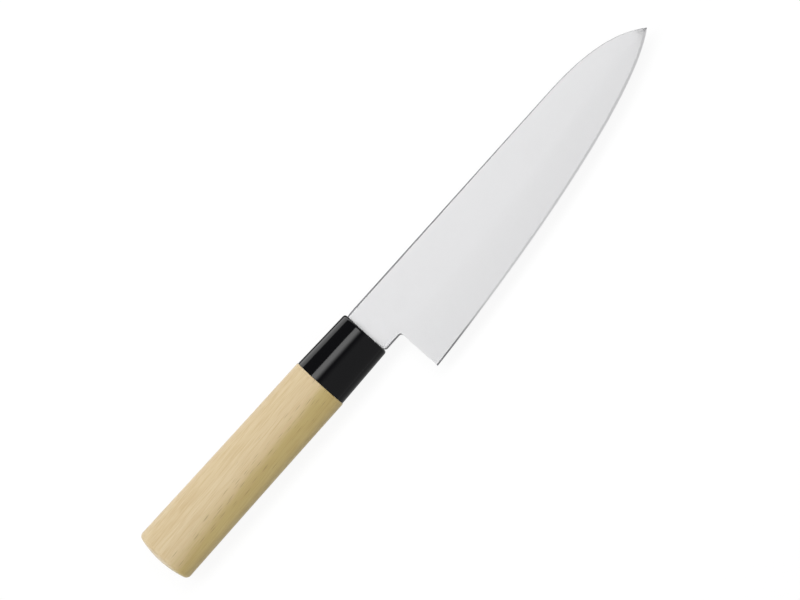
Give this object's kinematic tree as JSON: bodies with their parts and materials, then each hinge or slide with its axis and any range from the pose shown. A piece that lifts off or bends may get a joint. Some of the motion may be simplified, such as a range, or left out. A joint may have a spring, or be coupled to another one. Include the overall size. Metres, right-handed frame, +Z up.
{
  "type": "kitchen knife",
  "caption": "Kitchen knife with a wide, thin, double-ground blade, oval pale wooden grip and black moulded ferrule, held by a hidden glued tang.",
  "frame": {"origin": "under the middle of the knife's box, on the surface that the knife lies on", "axes": "+X along the handle's axis to the tip, +Y from the cutting edge to the spine, +Z up, out of the blade's right side"},
  "size_m": [0.3138, 0.0468, 0.0219],
  "materials": {
    "steel": "satin stainless steel, fine lengthwise grind, brighter sharpened bevel",
    "ferrule_resin": "glossy black moulded resin",
    "grip_wood": "bare sanded magnolia, fine lengthwise grain",
    "adhesive": "cured amber epoxy"
  },
  "bodies": {
    "root": {"blade": "steel", "ferrule": "ferrule_resin", "grip": "grip_wood", "tang_bedding": "adhesive"}
  },
  "joints": []
}
